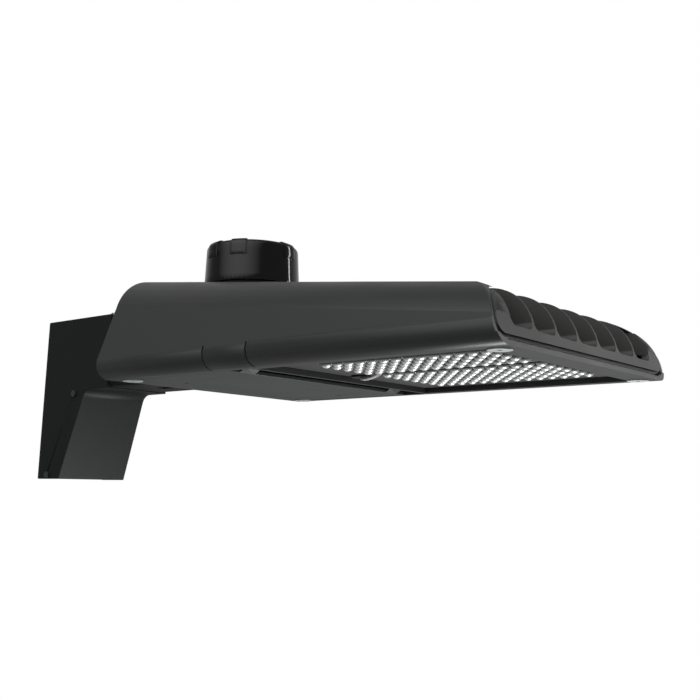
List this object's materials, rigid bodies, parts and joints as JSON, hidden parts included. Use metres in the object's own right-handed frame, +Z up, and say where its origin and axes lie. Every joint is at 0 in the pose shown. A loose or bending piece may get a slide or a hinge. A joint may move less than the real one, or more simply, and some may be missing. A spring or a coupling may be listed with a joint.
{
  "type": "shoebox area light",
  "caption": "Shoebox area light on a wall arm: a cast housing with a hinged rear door, a finned heat sink, lens plates and a twist-lock photocell.",
  "frame": {"origin": "centre of the four wall bolts, on the wall plane", "axes": "+X out of the wall towards the nose, +Y across the light, +Z up; the underside of the housing lies at Z = 0"},
  "size_m": [0.615, 0.282, 0.222],
  "materials": {
    "housing_paint": "satin",
    "sink_paint": "satin",
    "arm_paint": "satin",
    "frame_paint": "satin",
    "cap_plastic": "gloss",
    "black_plastic": "matte",
    "seal_rubber": "matte",
    "lens_clear": "gloss",
    "board_white": "satin",
    "chip_yellow": "satin",
    "thermal_grey": "matte",
    "screw_steel": "satin",
    "pad_steel": "satin",
    "zinc_plate": "satin",
    "contact_brass": "satin",
    "lead_white": "satin",
    "wire_black": "satin",
    "wire_red": "satin",
    "driver_case": "satin",
    "surge_blue": "satin",
    "block_white": "satin",
    "ground_green": "satin",
    "board_green": "satin",
    "sensor_tan": "satin"
  },
  "bodies": {
    "root": {"wall_gasket": "seal_rubber", "wall_plate": "zinc_plate", "wall_box": "arm_paint", "wall_box_screws": "screw_steel", "neck": "arm_paint", "neck_bolts": "screw_steel", "neck_washers": "seal_rubber", "neck_gasket": "seal_rubber", "housing_bolts": "screw_steel", "wire_grommet": "seal_rubber", "supply_wires": "wire_black", "housing_shell": "housing_paint", "heat_sink": "sink_paint", "optic_frame": "frame_paint", "optic_gasket": "seal_rubber", "lens_near": "lens_clear", "lens_far": "lens_clear", "led_board_near": "board_white", "led_board_far": "board_white", "led_chips": "chip_yellow", "thermal_pads": "thermal_grey", "board_screws": "screw_steel", "front_screws": "pad_steel", "lead_port": "black_plastic", "led_leads": "lead_white", "door_gasket": "seal_rubber", "hinge_pins": "screw_steel", "driver_tray": "zinc_plate", "tray_screws": "screw_steel", "driver": "driver_case", "driver_screws": "screw_steel", "surge_protector": "surge_blue", "surge_screws": "screw_steel", "terminal_block": "block_white", "terminal_screws": "contact_brass", "bay_wires": "wire_red", "ground_screw": "ground_green", "receptacle_gasket": "seal_rubber", "receptacle_ring": "black_plastic", "receptacle_screws": "screw_steel"},
    "door": {"rear_door": "housing_paint"},
    "door_screw_near": {"door_screw_near": "pad_steel"},
    "door_screw_far": {"door_screw_far": "pad_steel"},
    "receptacle": {"receptacle": "black_plastic", "receptacle_contacts": "contact_brass"},
    "photocell": {"photocell_base": "black_plastic", "photocell_blades": "contact_brass", "photocell_gasket": "seal_rubber", "photocell_cap": "cap_plastic", "photocell_board": "board_green", "photocell_sensor": "sensor_tan"}
  },
  "joints": [
    {"name": "door_hinge", "type": "hinge", "parent": "root", "child": "door", "pos_m": [0.364, 0, 0.008], "axis": [0, -1, 0], "range_deg": [0, 90]},
    {"name": "near_screw_turn", "type": "hinge", "parent": "door", "child": "door_screw_near", "pos_m": [0.2325, -0.1143, 0], "axis": [0, 0, 1], "range_deg": [0, 90]},
    {"name": "far_screw_turn", "type": "hinge", "parent": "door", "child": "door_screw_far", "pos_m": [0.2325, 0.1143, 0], "axis": [0, 0, 1], "range_deg": [0, 90]},
    {"name": "receptacle_turn", "type": "hinge", "parent": "root", "child": "receptacle", "pos_m": [0.2645, 0, 0.096], "axis": [0, 0, 1], "range_deg": [-165, 165]},
    {"name": "photocell_twist", "type": "hinge", "parent": "receptacle", "child": "photocell", "pos_m": [0.2645, 0, 0.1015], "axis": [0, 0, 1], "range_deg": [0, 30]}
  ]
}
